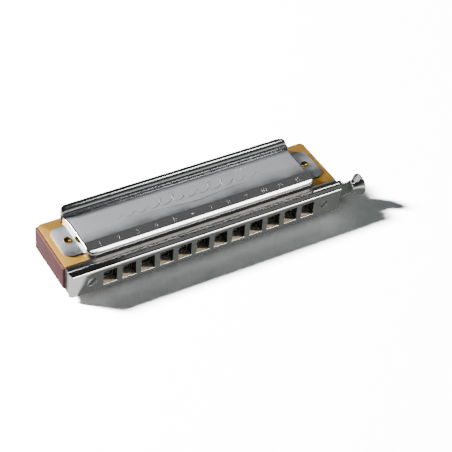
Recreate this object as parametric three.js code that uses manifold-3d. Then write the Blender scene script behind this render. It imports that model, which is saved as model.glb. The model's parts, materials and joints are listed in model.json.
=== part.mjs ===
// Twelve-hole chromatic harmonica with a slide button, in millimetres.
//
// Everything is built in the instrument's own axes: X runs along the row of holes towards the button,
// Y runs from the mouthpiece's front face (y = 0) to the back, and Z is up from the middle of the comb.
// The finished instrument is then tilted about X until it lies on its lower cover: the cover's front edge
// and its taller back roll both touch the ground plane z = 0.

import * as THREE from "three";
import { mergeVertices } from "three/addons/utils/BufferGeometryUtils.js";
import Module from "manifold-3d";

// ---- driving dimensions -------------------------------------------------------------------------

const FIT_GAP = 0.05; // between pieces that are stacked or seated against each other
const HOLE_COUNT = 12;
const HOLE_PITCH = 9.5;

const COMB = { halfLength: 72.35, halfThickness: 6.12, front: 6.95, back: 38.2, cornerRadius: 0.6 };
const CELL = { width: 3.3, floor: 0.45, longEnd: 35.5, shortEnd: 25.5 };
const PLATE = {
  halfLength: 71.26,
  thickness: 1.0,
  front: 6.95,
  back: 37.97,
  frontCornerRadius: 0.4,
  cornerRadius: 3,
};

const MOUTH = { halfLength: 71.75, halfHeight: 7.1, depth: 4.2, roundDepth: 2.6, roundWidth: 1.8 };
const MOUTH_HOLE = { width: 6.7, height: 7.45 };
const CAGE = { halfLength: 71.3, halfHeight: 6.95, web: 0.85, flange: 0.6 };
const SLIDE = { left: -66, shoulder: 73.95, neckStart: 78.2, end: 79.9, halfHeight: 6.25, thickness: 0.8 };
const SLIDE_NECK_HALF_HEIGHT = 3.1;
const BACKING_THICKNESS = 0.8;
const BUTTON = { collarRadius: 3.25, waistRadius: 2.85, rimRadius: 5.35, length: 6.2 };

const COVER = { halfLength: 60.4, front: 7.3, panelHeight: 3.8, thickness: 0.7, endLean: 0.5 };
const COVER_BROW = { y: 13.4, drop: 0.32 }; // in front of y the panel falls away in a gentle curve
const COVER_SLOPE = { run: 2.2, drop: 0.85, edge: 0.3 }; // then slopes down to the front wall's top edge
const ROLL = { y: 36.9, aboveFoot: 5.0, radius: 2.4, filletRadius: 0.9 };
const COVER_CORNER = { front: 2.5, back: 5.5 };
const BACK_OPENING = { halfLength: 51, height: 4.75 };
const TAB = { end: 68.65, front: 11.6, back: 32.2, thickness: 0.6, cornerRadius: 4.5 };

const COVER_NAIL = { x: 63.2, y: 21.9, headRadius: 2.1, headHeight: 1.3, shankRadius: 0.75, length: 6.5 };
const PLATE_PIN = { x: 57.65, y: 33.4, headRadius: 1.2, headHeight: 0.7, shankRadius: 0.5, length: 4.5 };
const MOUTH_SCREW = {
  x: 61.4,
  headRadius: 2.0,
  sink: 1.0,
  dome: 0.25,
  slotWidth: 0.5,
  shankRadius: 0.9,
  length: 14,
};
const HOLE_CLEARANCE = 0.1; // radial, around shanks and pins
const HOLE_SPARE = 0.3; // depth of a hole beyond the point of its nail or pin
const LEAST_WALL = { cell: 0.15, window: 0.3 }; // between a screw's slot and the nearest opening
const PAST = 1; // how far a cutting piece runs past the surface it cuts

const REED = { rootWidth: 2.1, tipWidth: 1.7, thickness: 0.22, longest: 18.5, shortest: 9.5, pad: 3.2 };
const REED_RIVET = { radius: 0.75, height: 0.35 };
const REED_SLOT = { width: 2.5, front: 9.5 };

const SPRING = {
  x: 67.4,
  y: 23.5,
  coilRadius: 1.9,
  wireRadius: 0.35,
  turns: 3,
  turnGap: 0.1,
  armHeight: 1.6,
  slack: 0.2, // radial, where the arm passes through the slide
};
const SPRING_POCKET = { frontHalfWidth: 3.3, backHalfWidth: 2.8, back: 26.6, floor: -2.5 };
const SPRING_PIN = { radius: 0.9, top: 2.6, bottom: -5 };

// ---- sizes that follow from them -----------------------------------------------------------------

const SLIDE_TRAVEL = HOLE_PITCH / 2; // the slide swaps each hole between its two pairs of cells
const HALF_CELL = HOLE_PITCH / 4; // from a hole's centre to the centre of either cell
const CAGE_FRONT = MOUTH.depth + FIT_GAP;
const SLIDE_FRONT = CAGE_FRONT + CAGE.web + FIT_GAP;
const SLIDE_BACK = SLIDE_FRONT + SLIDE.thickness;
const BACKING_FRONT = SLIDE_BACK + 2 * FIT_GAP;
const BACKING_BACK = BACKING_FRONT + BACKING_THICKNESS;
const PLATE_BOTTOM = COMB.halfThickness + FIT_GAP;
const PLATE_TOP = PLATE_BOTTOM + PLATE.thickness;
const COVER_FOOT = PLATE_TOP + FIT_GAP;
const PANEL_TOP = COVER_FOOT + COVER.panelHeight;
const ROLL_HEIGHT = COVER_FOOT + ROLL.aboveFoot;
const SPRING_ARM_LENGTH = SPRING.y - (SLIDE_FRONT + SLIDE_BACK) / 2;
const SPRING_LEAN = Math.asin(SLIDE_TRAVEL / 2 / SPRING_ARM_LENGTH);
const SCREW_CLEAR_X = MOUTH_SCREW.x - MOUTH_SCREW.shankRadius - HOLE_CLEARANCE;
const FIRST_CELL_LEFT = -SCREW_CLEAR_X + SLIDE_TRAVEL + LEAST_WALL.cell;
const PORT_HALF_HEIGHT = MOUTH_HOLE.height / 2 - 0.1; // the openings behind a mouth hole are a little lower

const holeX = (hole) => (hole - (HOLE_COUNT - 1) / 2) * HOLE_PITCH;
const holes = Array.from({ length: HOLE_COUNT }, (_, hole) => hole);
const mix = (from, to, share) => from + (to - from) * share;

// ---- solids --------------------------------------------------------------------------------------

const wasm = await Module();
wasm.setup();

function solid(geometry) {
  const bare = geometry.clone();
  bare.deleteAttribute("normal");
  bare.deleteAttribute("uv");
  const merged = mergeVertices(bare, 1e-4);
  const vertProperties = new Float32Array(merged.attributes.position.array);
  const triVerts = new Uint32Array(merged.index.array);
  return new wasm.Manifold(new wasm.Mesh({ numProp: 3, vertProperties, triVerts }));
}

function geometryOf(manifold) {
  const mesh = manifold.getMesh();
  const positions = new Float32Array(mesh.numVert * 3);
  for (let i = 0; i < mesh.numVert; i++) {
    positions.set(mesh.vertProperties.subarray(i * mesh.numProp, i * mesh.numProp + 3), i * 3);
  }
  const geometry = new THREE.BufferGeometry();
  geometry.setAttribute("position", new THREE.BufferAttribute(positions, 3));
  geometry.setIndex(new THREE.BufferAttribute(new Uint32Array(mesh.triVerts), 1));
  return geometry;
}

const join = (solids) => solids.reduce((whole, next) => whole.add(next));
const cut = (body, tools) => body.subtract(join(tools));

function box(x0, x1, y0, y1, z0, z1) {
  const geometry = new THREE.BoxGeometry(x1 - x0, y1 - y0, z1 - z0);
  return solid(geometry.translate((x0 + x1) / 2, (y0 + y1) / 2, (z0 + z1) / 2));
}

// A cylinder or cone along +Y from y0 (radius r0) to y1 (radius r1).
function roundAlongY(x, z, y0, y1, r0, r1 = r0, sides = 20) {
  const geometry = new THREE.CylinderGeometry(r1, r0, y1 - y0, sides);
  return solid(geometry.translate(x, (y0 + y1) / 2, z));
}

function roundAlongZ(x, y, z0, z1, radius, sides = 16) {
  const geometry = new THREE.CylinderGeometry(radius, radius, z1 - z0, sides);
  return solid(geometry.rotateX(Math.PI / 2).translate(x, y, (z0 + z1) / 2));
}

// A flat outline in X and Y, raised from z0 to z1.
function raise(shape, z0, z1, curveSegments = 5) {
  const settings = { depth: z1 - z0, bevelEnabled: false, curveSegments };
  return solid(new THREE.ExtrudeGeometry(shape, settings).translate(0, 0, z0));
}

// A section given as [y, z] points, run along X from x0 to x1.
function runAlongX(points, x0, x1) {
  const shape = new THREE.Shape(points.map(([y, z]) => new THREE.Vector2(y, z)));
  const geometry = new THREE.ExtrudeGeometry(shape, { depth: x1 - x0, bevelEnabled: false });
  const axes = new THREE.Matrix4().makeBasis(
    new THREE.Vector3(0, 1, 0),
    new THREE.Vector3(0, 0, 1),
    new THREE.Vector3(1, 0, 0),
  );
  return solid(geometry.applyMatrix4(axes).translate(x0, 0, 0));
}

function arc(centreY, centreZ, radius, from, to, steps) {
  return Array.from({ length: steps + 1 }, (_, i) => {
    const angle = mix(from, to, i / steps);
    return [centreY + radius * Math.cos(angle), centreZ + radius * Math.sin(angle)];
  });
}

// A rectangle with its own corner radius at the low-Y and the high-Y side.
function roundedRectangle(x0, x1, y0, y1, lowRadius, highRadius = lowRadius) {
  const shape = new THREE.Shape();
  const quarter = Math.PI / 2;
  shape.absarc(x1 - lowRadius, y0 + lowRadius, lowRadius, -quarter, 0, false);
  shape.absarc(x1 - highRadius, y1 - highRadius, highRadius, 0, quarter, false);
  shape.absarc(x0 + highRadius, y1 - highRadius, highRadius, quarter, 2 * quarter, false);
  shape.absarc(x0 + lowRadius, y0 + lowRadius, lowRadius, 2 * quarter, 3 * quarter, false);
  return shape;
}

// A closed surface between two rings of the same number of points; both rings are convex.
function loftConvex(lowerRing, upperRing) {
  const count = lowerRing.length;
  const positions = [...lowerRing, ...upperRing].flat();
  const faces = [];
  for (let i = 0; i < count; i++) {
    const next = (i + 1) % count;
    faces.push(i, next, count + next, i, count + next, count + i);
  }
  for (let i = 1; i + 1 < count; i++) {
    faces.push(0, i + 1, i, count, count + i, count + i + 1);
  }
  const geometry = new THREE.BufferGeometry();
  geometry.setAttribute("position", new THREE.Float32BufferAttribute(positions, 3));
  geometry.setIndex(faces);
  return solid(geometry);
}

function wireAlong(points, radius, steps) {
  const path = new THREE.CatmullRomCurve3(points);
  const section = new THREE.Shape();
  section.absarc(0, 0, radius, 0, 2 * Math.PI, false);
  return new THREE.ExtrudeGeometry(section, { steps, extrudePath: path, curveSegments: 4 });
}

// ---- materials -----------------------------------------------------------------------------------

const finish = (color, metalness, roughness) => () =>
  new THREE.MeshStandardMaterial({ color, metalness, roughness });

const paintedWood = finish(0x8f6b70, 0, 0.55);
const brass = finish(0xc9a05c, 1, 0.35);
const coverSteel = finish(0xb4b6ba, 1, 0.3);
const chrome = finish(0xd5d8da, 1, 0.08);
const slideSteel = finish(0x9a9d9f, 1, 0.25);
const springSteel = finish(0x7e8082, 1, 0.35);

const instrument = new THREE.Group();

function addPiece(name, geometry, makeMaterial, mirrored = false) {
  const mesh = new THREE.Mesh(geometry, makeMaterial());
  mesh.name = name;
  if (mirrored) mesh.scale.z = -1;
  instrument.add(mesh);
  return mesh;
}

const coverSides = [
  { side: "upper", mirrored: false },
  { side: "lower", mirrored: true },
];
const ends = [
  { end: "left", sign: -1 },
  { end: "right", sign: 1 },
];

// ---- comb ----------------------------------------------------------------------------------------

// The cells of one face: two beside each other behind every mouth hole, shorter towards the high notes.
function combCells() {
  return holes.flatMap((hole) =>
    [-1, 1].map((sign) => {
      const centre = holeX(hole) + sign * HALF_CELL;
      const end = mix(CELL.longEnd, CELL.shortEnd, hole / (HOLE_COUNT - 1));
      const left = Math.max(centre - CELL.width / 2, FIRST_CELL_LEFT);
      const right = centre + CELL.width / 2;
      return box(left, right, COMB.front - PAST, end, CELL.floor, COMB.halfThickness + PAST);
    }),
  );
}

function springPocket() {
  const { frontHalfWidth, backHalfWidth, back, floor } = SPRING_POCKET;
  const shape = new THREE.Shape([
    new THREE.Vector2(SPRING.x - frontHalfWidth, COMB.front - PAST),
    new THREE.Vector2(SPRING.x + frontHalfWidth, COMB.front - PAST),
    new THREE.Vector2(SPRING.x + backHalfWidth, SPRING.y - backHalfWidth),
    new THREE.Vector2(SPRING.x + backHalfWidth, back),
    new THREE.Vector2(SPRING.x - backHalfWidth, back),
    new THREE.Vector2(SPRING.x - backHalfWidth, SPRING.y - backHalfWidth),
  ]);
  return raise(shape, floor, COMB.halfThickness + PAST);
}

function makeComb() {
  const { halfLength, halfThickness, front, back, cornerRadius } = COMB;
  const outline = roundedRectangle(-halfLength, halfLength, front, back, cornerRadius);
  const block = raise(outline, -halfThickness, halfThickness, 3);
  const upperCells = join(combCells());
  const lowerCells = upperCells.mirror([0, 0, 1]);
  const screwHoles = ends.map(({ sign }) => {
    const radius = MOUTH_SCREW.shankRadius + HOLE_CLEARANCE;
    return roundAlongY(sign * MOUTH_SCREW.x, 0, front - PAST, MOUTH_SCREW.length + HOLE_SPARE, radius);
  });
  const nailHoles = ends.flatMap(({ sign }) => [
    ...shankHoles(sign, COVER_NAIL),
    ...shankHoles(sign, PLATE_PIN),
  ]);
  const pinHole = roundAlongZ(
    SPRING.x,
    SPRING.y,
    SPRING_PIN.bottom - HOLE_SPARE,
    SPRING_POCKET.floor + PAST,
    SPRING_PIN.radius + HOLE_CLEARANCE,
  );
  const hollows = [upperCells, lowerCells, springPocket(), pinHole];
  return cut(block, [...hollows, ...screwHoles, ...nailHoles]);
}

// The holes that one kind of nail needs at one end of the comb, in its upper and its lower face.
function shankHoles(sign, nail) {
  const radius = nail.shankRadius + HOLE_CLEARANCE;
  const bottom = PLATE_TOP - nail.length - HOLE_SPARE;
  const hole = roundAlongZ(sign * nail.x, nail.y, bottom, COMB.halfThickness + PAST, radius, 12);
  return [hole, hole.mirror([0, 0, 1])];
}

addPiece("comb", geometryOf(makeComb()), paintedWood);

// ---- reed plates and reeds -----------------------------------------------------------------------

const reedLength = (hole) => mix(REED.longest, REED.shortest, hole / (HOLE_COUNT - 1));
const outerReedX = (hole) => holeX(hole) + HALF_CELL;
const innerReedX = (hole) => holeX(hole) - HALF_CELL;

function reedSlots() {
  const half = REED_SLOT.width / 2;
  const [low, high] = [PLATE_BOTTOM - PAST, PLATE_TOP + PAST];
  return holes.flatMap((hole) => {
    const outer = outerReedX(hole);
    const inner = innerReedX(hole);
    const front = REED_SLOT.front;
    const length = reedLength(hole);
    return [
      box(outer - half, outer + half, front, front + length, low, high),
      box(inner - half, inner + half, front + REED.pad, front + REED.pad + length, low, high),
    ];
  });
}

function makeReedPlate() {
  const { halfLength, front, back, frontCornerRadius, cornerRadius } = PLATE;
  const outline = roundedRectangle(-halfLength, halfLength, front, back, frontCornerRadius, cornerRadius);
  const blank = raise(outline, PLATE_BOTTOM, PLATE_TOP, 6);
  const shanks = ends.flatMap(({ sign }) =>
    [COVER_NAIL, PLATE_PIN].map((nail) => {
      const radius = nail.shankRadius + HOLE_CLEARANCE;
      return roundAlongZ(sign * nail.x, nail.y, PLATE_BOTTOM - PAST, PLATE_TOP + PAST, radius, 12);
    }),
  );
  return cut(blank, [...reedSlots(), ...shanks]);
}

// A tongue that narrows to its free front end, riveted through its pad at the back.
function makeOuterReed(hole) {
  const tip = REED_SLOT.front + 0.2;
  const root = REED_SLOT.front + reedLength(hole);
  const back = root + REED.pad;
  const base = PLATE_TOP + FIT_GAP;
  const shape = new THREE.Shape([
    new THREE.Vector2(-REED.tipWidth / 2, tip),
    new THREE.Vector2(REED.tipWidth / 2, tip),
    new THREE.Vector2(REED.rootWidth / 2, root),
    new THREE.Vector2(REED.rootWidth / 2, back),
    new THREE.Vector2(-REED.rootWidth / 2, back),
    new THREE.Vector2(-REED.rootWidth / 2, root),
  ]);
  const tongue = raise(shape, base, base + REED.thickness);
  const rivetTop = base + REED.thickness + REED_RIVET.height;
  const rivet = roundAlongZ(0, root + REED.pad / 2, base + 0.05, rivetTop, REED_RIVET.radius, 10);
  return geometryOf(tongue.add(rivet)).translate(outerReedX(hole), 0, 0);
}

for (const { side, mirrored } of coverSides) {
  addPiece(side + "_reed_plate", geometryOf(makeReedPlate()), brass, mirrored);
  for (const hole of holes) {
    addPiece(side + "_draw_reed_" + (hole + 1), makeOuterReed(hole), brass, mirrored);
  }
}

// ---- covers --------------------------------------------------------------------------------------

const SLOPE_TOP = COVER.front + COVER_SLOPE.run;

// The height of the cover's outer surface from its front wall back to the flat panel.
function frontHeight(y) {
  const brow = Math.min(1, Math.max(0, (COVER_BROW.y - y) / (COVER_BROW.y - SLOPE_TOP)));
  const slope = Math.min(1, Math.max(0, (SLOPE_TOP - y) / (COVER_SLOPE.run - COVER_SLOPE.edge)));
  const edge = Math.max(0, COVER.front + COVER_SLOPE.edge - y);
  return PANEL_TOP - COVER_BROW.drop * brow ** 2 - COVER_SLOPE.drop * slope - edge;
}

// The front part of the section, from the wall's top edge to the flat panel, as [y, z] points.
function frontPoints(inset) {
  const browSteps = 4;
  const brow = Array.from({ length: browSteps + 1 }, (_, i) => mix(SLOPE_TOP, COVER_BROW.y, i / browSteps));
  const wall = COVER.front + inset;
  const bends = [COVER.front + COVER_SLOPE.edge, ...brow].filter((y) => y > wall);
  return [wall, ...bends].map((y) => [y, frontHeight(y) - inset]);
}

// The cover's section as [y, z] points, moved inwards by inset: front wall, slope, brow, flat panel, then
// a hollow fillet that climbs into the round back roll.
function coverSection(inset, foot) {
  const { y: rollY, radius, filletRadius } = ROLL;
  const filletZ = PANEL_TOP + filletRadius;
  const reach = radius + filletRadius;
  const filletY = rollY - Math.sqrt(reach ** 2 - (filletZ - ROLL_HEIGHT) ** 2);
  const toRoll = Math.atan2(ROLL_HEIGHT - filletZ, rollY - filletY);
  return [
    [COVER.front + inset, foot],
    ...frontPoints(inset),
    ...arc(filletY, filletZ, filletRadius + inset, -Math.PI / 2, toRoll, 5),
    ...arc(rollY, ROLL_HEIGHT, radius - inset, Math.PI + toRoll, 0, 9).slice(1),
    [rollY + radius - inset, foot],
  ].reverse();
}

// The pan that rounds the cover's corners in plan and leans its end walls inwards.
function coverPan(inset, foot, top) {
  const ring = (height) => {
    const half = COVER.halfLength - inset - COVER.endLean * (height - COVER_FOOT);
    const [front, back] = [COVER.front + inset, ROLL.y + ROLL.radius - inset];
    const corners = [COVER_CORNER.front - inset, COVER_CORNER.back - inset];
    const outline = roundedRectangle(-half, half, front, back, ...corners);
    return outline.getPoints(5).slice(0, -1).map(({ x, y }) => [x, y, height]);
  };
  return loftConvex(ring(foot), ring(top));
}

function coverTab(sign) {
  const inner = COVER.halfLength - COVER.thickness / 2;
  const [x0, x1] = [sign * inner, sign * TAB.end].sort((a, b) => a - b);
  const whole = roundedRectangle(
    sign > 0 ? x0 - TAB.cornerRadius : x0,
    sign > 0 ? x1 : x1 + TAB.cornerRadius,
    TAB.front,
    TAB.back,
    TAB.cornerRadius,
  );
  const top = COVER_FOOT + TAB.thickness;
  const strip = box(x0, x1, TAB.front - PAST, TAB.back + PAST, COVER_FOOT, top);
  return raise(whole, COVER_FOOT, top, 5).intersect(strip);
}

function makeCover() {
  const t = COVER.thickness;
  const top = ROLL_HEIGHT + ROLL.radius + PAST;
  const reach = COVER.halfLength + PAST;
  const outer = runAlongX(coverSection(0, COVER_FOOT), -reach, reach);
  const inner = runAlongX(coverSection(t, COVER_FOOT - PAST), -reach, reach);
  const skin = outer.intersect(coverPan(0, COVER_FOOT, top));
  const hollow = inner.intersect(coverPan(t, COVER_FOOT - PAST, top));
  const opening = box(
    -BACK_OPENING.halfLength,
    BACK_OPENING.halfLength,
    ROLL.y,
    ROLL.y + ROLL.radius + PAST,
    COVER_FOOT - PAST,
    COVER_FOOT + BACK_OPENING.height,
  );
  const tabs = ends.map(({ sign }) => coverTab(sign));
  const nailHoles = ends.map(({ sign }) => {
    const radius = COVER_NAIL.shankRadius + HOLE_CLEARANCE;
    return roundAlongZ(sign * COVER_NAIL.x, COVER_NAIL.y, COVER_FOOT - PAST, top, radius, 12);
  });
  return cut(join([cut(skin, [hollow, opening]), ...tabs]), nailHoles);
}

for (const { side, mirrored } of coverSides) {
  addPiece(side + "_cover", geometryOf(makeCover()), coverSteel, mirrored);
}

// ---- nails and pins ------------------------------------------------------------------------------

// A nail driven along -Z: a domed head whose underside lies at seat, and a blunt-pointed shank.
function makeNail({ headRadius, headHeight, shankRadius, length }, seat, sides) {
  const dome = Array.from({ length: 5 }, (_, i) => {
    const angle = (Math.PI / 2) * (i / 4);
    return new THREE.Vector2(headRadius * Math.cos(angle), seat + headHeight * Math.sin(angle));
  });
  dome[dome.length - 1].x = 0;
  const profile = [
    new THREE.Vector2(0, seat - length),
    new THREE.Vector2(shankRadius * 0.6, seat - length + 0.3),
    new THREE.Vector2(shankRadius, seat - length + 1),
    new THREE.Vector2(shankRadius, seat),
    ...dome,
  ];
  return new THREE.LatheGeometry(profile, sides).rotateX(Math.PI / 2);
}

for (const { side, mirrored } of coverSides) {
  for (const { end, sign } of ends) {
    const tabTop = COVER_FOOT + TAB.thickness + FIT_GAP;
    const nail = makeNail(COVER_NAIL, tabTop, 18).translate(sign * COVER_NAIL.x, COVER_NAIL.y, 0);
    addPiece(side + "_cover_nail_" + end, nail, brass, mirrored);
    const pin = makeNail(PLATE_PIN, PLATE_TOP + FIT_GAP, 12).translate(sign * PLATE_PIN.x, PLATE_PIN.y, 0);
    addPiece(side + "_plate_pin_" + end, pin, brass, mirrored);
  }
}

// ---- mouthpiece ----------------------------------------------------------------------------------

// Half of a front edge: a quarter ellipse from the flat face out to the full width.
function edgeRound(fullHalf) {
  return Array.from({ length: 8 }, (_, i) => {
    const angle = (Math.PI / 2) * (i / 7);
    const across = fullHalf - MOUTH.roundWidth * (1 - Math.sin(angle));
    return [MOUTH.roundDepth * (1 - Math.cos(angle)), across];
  });
}

// The mouthpiece's section, [depth, across], rounded at both front edges.
function mouthSection(fullHalf) {
  const upper = edgeRound(fullHalf);
  const lower = upper.map(([depth, across]) => [depth, -across]).reverse();
  return [[MOUTH.depth, -fullHalf], [MOUTH.depth, fullHalf], ...upper.reverse(), ...lower.reverse()];
}

// Rounding both ways by two crossed bars leaves the sharp mitred corners of a picture frame.
function mouthBlank() {
  const reach = MOUTH.halfLength + PAST;
  const lengthways = runAlongX(mouthSection(MOUTH.halfHeight), -reach, reach);
  const points = mouthSection(MOUTH.halfLength).map(([depth, across]) => new THREE.Vector2(across, depth));
  const upright = raise(new THREE.Shape(points), -MOUTH.halfHeight - PAST, MOUTH.halfHeight + PAST);
  return lengthways.intersect(upright);
}

function mouthHoles(growth, y0, y1) {
  const [width, height] = [MOUTH_HOLE.width / 2 + growth, MOUTH_HOLE.height / 2 + growth];
  return holes.map((hole) => box(holeX(hole) - width, holeX(hole) + width, y0, y1, -height, height));
}

function makeMouthpiece() {
  const screwSeats = ends.flatMap(({ sign }) => {
    const x = sign * MOUTH_SCREW.x;
    const rim = MOUTH_SCREW.headRadius + HOLE_CLEARANCE;
    const shank = MOUTH_SCREW.shankRadius + HOLE_CLEARANCE;
    return [
      roundAlongY(x, 0, -PAST, MOUTH_SCREW.sink * 0.4, rim),
      roundAlongY(x, 0, MOUTH_SCREW.sink * 0.4 - 0.01, MOUTH_SCREW.sink * 1.5, rim, shank),
      roundAlongY(x, 0, MOUTH_SCREW.sink / 2, MOUTH.depth + PAST, shank),
    ];
  });
  return cut(mouthBlank(), [...mouthHoles(0, -PAST, MOUTH.depth + PAST), ...screwSeats]);
}

addPiece("mouthpiece", geometryOf(makeMouthpiece()), chrome);

function makeMouthScrew(x) {
  const { headRadius, sink, dome, slotWidth, shankRadius, length } = MOUTH_SCREW;
  const profile = [
    new THREE.Vector2(0, length),
    new THREE.Vector2(shankRadius * 0.5, length - 0.5),
    new THREE.Vector2(shankRadius, length - 1.5),
    new THREE.Vector2(shankRadius, sink * 1.4),
    new THREE.Vector2(headRadius, sink * 0.35),
    new THREE.Vector2(headRadius, 0),
    new THREE.Vector2(headRadius * 0.75, -dome * 0.6),
    new THREE.Vector2(headRadius * 0.4, -dome * 0.9),
    new THREE.Vector2(0, -dome),
  ].reverse();
  const body = solid(new THREE.LatheGeometry(profile, 20));
  const reach = headRadius + PAST;
  const half = slotWidth / 2;
  const slot = box(-reach, reach, -PAST, sink * 0.45, -half, half).rotate([0, 45, 0]);
  return geometryOf(body.subtract(slot)).translate(x, 0, 0);
}

for (const { end, sign } of ends) {
  addPiece("mouthpiece_screw_" + end, makeMouthScrew(sign * MOUTH_SCREW.x), chrome);
}

// ---- slide cage, slide and backing plate ---------------------------------------------------------

function screwHolesThrough(y0, y1) {
  const radius = MOUTH_SCREW.shankRadius + HOLE_CLEARANCE;
  return ends.map(({ sign }) => roundAlongY(sign * MOUTH_SCREW.x, 0, y0, y1, radius));
}

// A shallow channel, open at both ends, that keeps the slide against the backing plate.
function makeSlideCage() {
  const { halfLength, halfHeight, web, flange } = CAGE;
  const lip = BACKING_FRONT - FIT_GAP;
  const inner = halfHeight - flange;
  const channel = runAlongX(
    [
      [CAGE_FRONT, -halfHeight],
      [lip, -halfHeight],
      [lip, -inner],
      [CAGE_FRONT + web, -inner],
      [CAGE_FRONT + web, inner],
      [lip, inner],
      [lip, halfHeight],
      [CAGE_FRONT, halfHeight],
    ],
    -halfLength,
    halfLength,
  );
  const [y0, y1] = [CAGE_FRONT - PAST, CAGE_FRONT + web + PAST];
  return cut(channel, [...mouthHoles(HOLE_CLEARANCE, y0, y1), ...screwHolesThrough(y0, y1)]);
}

// The slide's windows: below the middle they lead to each hole's left cell, above it to the right one.
// One more window at the button end serves the last hole once the slide is pressed in.
function slideWindows() {
  const [y0, y1] = [SLIDE_FRONT - PAST, SLIDE_BACK + PAST];
  const window = (centre, z0, z1) => {
    const leftLimit = -SCREW_CLEAR_X + SLIDE_TRAVEL + LEAST_WALL.window;
    const left = Math.max(centre - CELL.width / 2, leftLimit);
    const right = Math.min(centre + CELL.width / 2, SCREW_CLEAR_X - LEAST_WALL.window);
    return box(left, right, y0, y1, z0, z1);
  };
  const lower = [...holes, HOLE_COUNT].map((hole) =>
    window(innerReedX(hole), -PORT_HALF_HEIGHT, -CELL.floor),
  );
  const upper = holes.map((hole) => window(outerReedX(hole), CELL.floor, PORT_HALF_HEIGHT));
  return [...lower, ...upper];
}

// A slot round each screw, as long as the slide's travel.
function slideScrewSlots() {
  const radius = MOUTH_SCREW.shankRadius + HOLE_CLEARANCE;
  const [y0, y1] = [SLIDE_FRONT - PAST, SLIDE_BACK + PAST];
  return ends.flatMap(({ sign }) => {
    const x = sign * MOUTH_SCREW.x;
    return [
      roundAlongY(x, 0, y0, y1, radius),
      roundAlongY(x + SLIDE_TRAVEL, 0, y0, y1, radius),
      box(x, x + SLIDE_TRAVEL, y0, y1, -radius, radius),
    ];
  });
}

// The slide's outline in X and Z: full height to its shoulder, then a hollow curve into the neck.
function slideOutline() {
  const { left, shoulder, neckStart, end, halfHeight } = SLIDE;
  const hollow = Array.from({ length: 9 }, (_, i) => {
    const angle = (Math.PI / 2) * (i / 8);
    const x = neckStart - (neckStart - shoulder) * Math.cos(angle);
    return [x, halfHeight - (halfHeight - SLIDE_NECK_HALF_HEIGHT) * Math.sin(angle)];
  });
  const upper = [[left, halfHeight], ...hollow, [end, SLIDE_NECK_HALF_HEIGHT]];
  const lower = upper.map(([x, z]) => [x, -z]).reverse();
  return [...upper, ...lower];
}

function makeSlide() {
  const outline = new THREE.Shape(slideOutline().map(([x, z]) => new THREE.Vector2(x, z)));
  const settings = { depth: SLIDE.thickness, bevelEnabled: false };
  const plate = new THREE.ExtrudeGeometry(outline, settings).rotateX(Math.PI / 2);
  const blank = solid(plate.translate(0, SLIDE_BACK, 0));
  const springHole = roundAlongY(
    SPRING.x + SLIDE_TRAVEL / 2,
    SPRING.armHeight,
    SLIDE_FRONT - PAST,
    SLIDE_BACK + PAST,
    SPRING.wireRadius + SPRING.slack,
  );
  return cut(blank, [...slideWindows(), ...slideScrewSlots(), springHole]);
}

function makeBackingPlate() {
  const { halfLength, halfHeight } = CAGE;
  const blank = box(-halfLength, halfLength, BACKING_FRONT, BACKING_BACK, -halfHeight, halfHeight);
  const [y0, y1] = [BACKING_FRONT - PAST, BACKING_BACK + PAST];
  const ports = holes.flatMap((hole) =>
    [innerReedX(hole), outerReedX(hole)].flatMap((centre) => {
      const left = Math.max(centre - CELL.width / 2, FIRST_CELL_LEFT);
      const right = centre + CELL.width / 2;
      const port = box(left, right, y0, y1, CELL.floor, PORT_HALF_HEIGHT);
      return [port, port.mirror([0, 0, 1])];
    }),
  );
  const reach = SPRING_POCKET.frontHalfWidth;
  const [low, high] = [SPRING.armHeight - SPRING.wireRadius * 2, SPRING.armHeight + SPRING.wireRadius * 2];
  const armSlot = box(SPRING.x - reach, SPRING.x + reach, y0, y1, low, high);
  return cut(blank, [...ports, armSlot, ...screwHolesThrough(y0, y1)]);
}

addPiece("slide_cage", geometryOf(makeSlideCage()), chrome);
addPiece("slide", geometryOf(makeSlide()), slideSteel);
addPiece("slide_backing_plate", geometryOf(makeBackingPlate()), chrome);

// ---- button --------------------------------------------------------------------------------------

// A turned knob along +X: a bead next to the slide, a waist, then a trumpet flare to the rim.
function makeButton() {
  const { collarRadius, waistRadius, rimRadius, length } = BUTTON;
  const bead = Array.from({ length: 6 }, (_, i) => {
    const angle = Math.PI * (i / 5);
    return new THREE.Vector2(waistRadius + (collarRadius - waistRadius) * Math.sin(angle), 1.4 * (i / 5));
  });
  const flare = Array.from({ length: 6 }, (_, i) => {
    const share = (i + 1) / 6;
    const radius = waistRadius + (rimRadius - waistRadius) * (1 - Math.cos((share * Math.PI) / 2));
    return new THREE.Vector2(radius, mix(1.4, length - 1.1, Math.sin((share * Math.PI) / 2)));
  });
  const face = [
    new THREE.Vector2(rimRadius, length - 0.6),
    new THREE.Vector2(rimRadius - 0.35, length - 0.15),
    new THREE.Vector2(rimRadius - 1.2, length),
    new THREE.Vector2(0, length - 0.3),
  ];
  const profile = [new THREE.Vector2(0, 0), ...bead, ...flare, ...face];
  return new THREE.LatheGeometry(profile, 28).rotateZ(-Math.PI / 2);
}

const button = addPiece("slide_button", makeButton(), chrome);
button.position.set(SLIDE.end + FIT_GAP, (SLIDE_FRONT + SLIDE_BACK) / 2, 0);

// ---- return spring -------------------------------------------------------------------------------

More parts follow.
